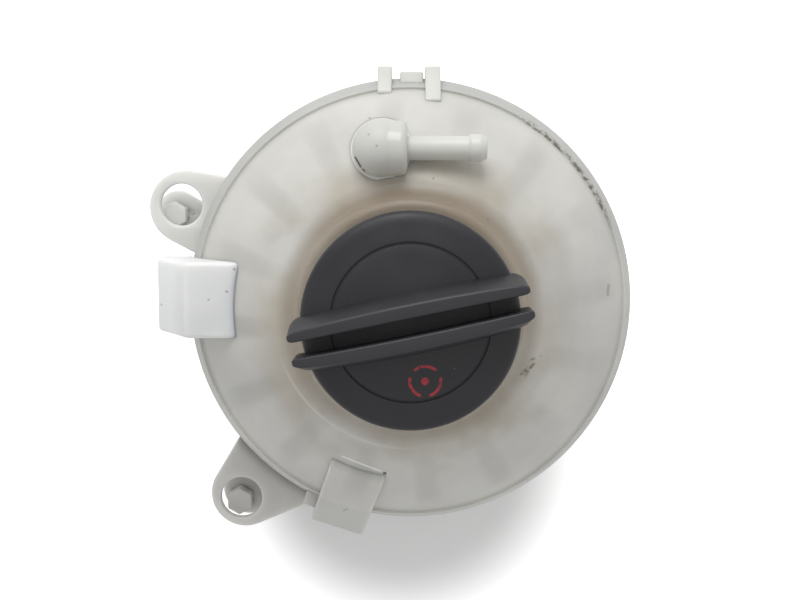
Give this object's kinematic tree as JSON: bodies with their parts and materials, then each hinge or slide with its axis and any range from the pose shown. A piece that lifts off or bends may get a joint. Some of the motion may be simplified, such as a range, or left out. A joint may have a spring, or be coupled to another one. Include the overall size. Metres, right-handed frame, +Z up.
{
  "type": "coolant expansion tank",
  "caption": "Ball-shaped coolant expansion tank of two welded half shells, with a bar-grip pressure cap, vent elbow, hose outlet, level sensor and mounting lugs.",
  "frame": {"origin": "centre of the flat base of the lower shell", "axes": "+Z up the tank's axis through the filler neck, +X along the vent tube and the sensor connector, -Y along the outlet nozzle"},
  "size_m": [0.1735, 0.1671, 0.1447],
  "materials": {
    "natural_plastic": "milky translucent polypropylene, aged",
    "black_plastic": "fine grained satin",
    "dark_plastic": "satin",
    "seal_rubber": "matt",
    "spring_steel": "drawn wire",
    "electrode_steel": "ground"
  },
  "bodies": {
    "tank": {"upper_shell": "natural_plastic", "lower_shell": "natural_plastic", "sensor_body": "black_plastic", "sensor_seal": "seal_rubber", "sensor_clip": "spring_steel", "electrode_left": "electrode_steel", "electrode_right": "electrode_steel"},
    "plug": {"valve_housing": "dark_plastic", "spring_retainer": "dark_plastic", "neck_seal": "seal_rubber", "cap_gasket": "seal_rubber"},
    "cap": {"cap_cover": "black_plastic"},
    "pressure_valve": {"pressure_plate": "dark_plastic", "pressure_seal": "seal_rubber", "pressure_spring": "spring_steel"},
    "vacuum_valve": {"vacuum_plate": "dark_plastic", "vacuum_seal": "seal_rubber", "vacuum_spring_seat": "spring_steel", "vacuum_spring": "spring_steel"}
  },
  "joints": [
    {"name": "cap_lift", "type": "slide", "parent": "tank", "child": "plug", "axis": [0, 0, 1], "range_m": [0, 0.009]},
    {"name": "cap_turn", "type": "hinge", "parent": "plug", "child": "cap", "pos_m": [0, 0, 0.12], "axis": [0, 0, 1], "range_deg": [0, 540]},
    {"name": "pressure_lift", "type": "slide", "parent": "plug", "child": "pressure_valve", "axis": [0, 0, 1], "range_m": [0, 0.0015], "stiffness_N_per_m": 5000, "springref_m": -0.004, "deforming": ["pressure_spring"]},
    {"name": "vacuum_drop", "type": "slide", "parent": "pressure_valve", "child": "vacuum_valve", "axis": [0, 0, -1], "range_m": [0, 0.0012], "stiffness_N_per_m": 200, "springref_m": -0.002, "deforming": ["vacuum_spring"]}
  ],
  "couplings": [
    {"joint": "cap_lift", "follows": "cap_turn", "m_per_rad": 0.00095493}
  ]
}
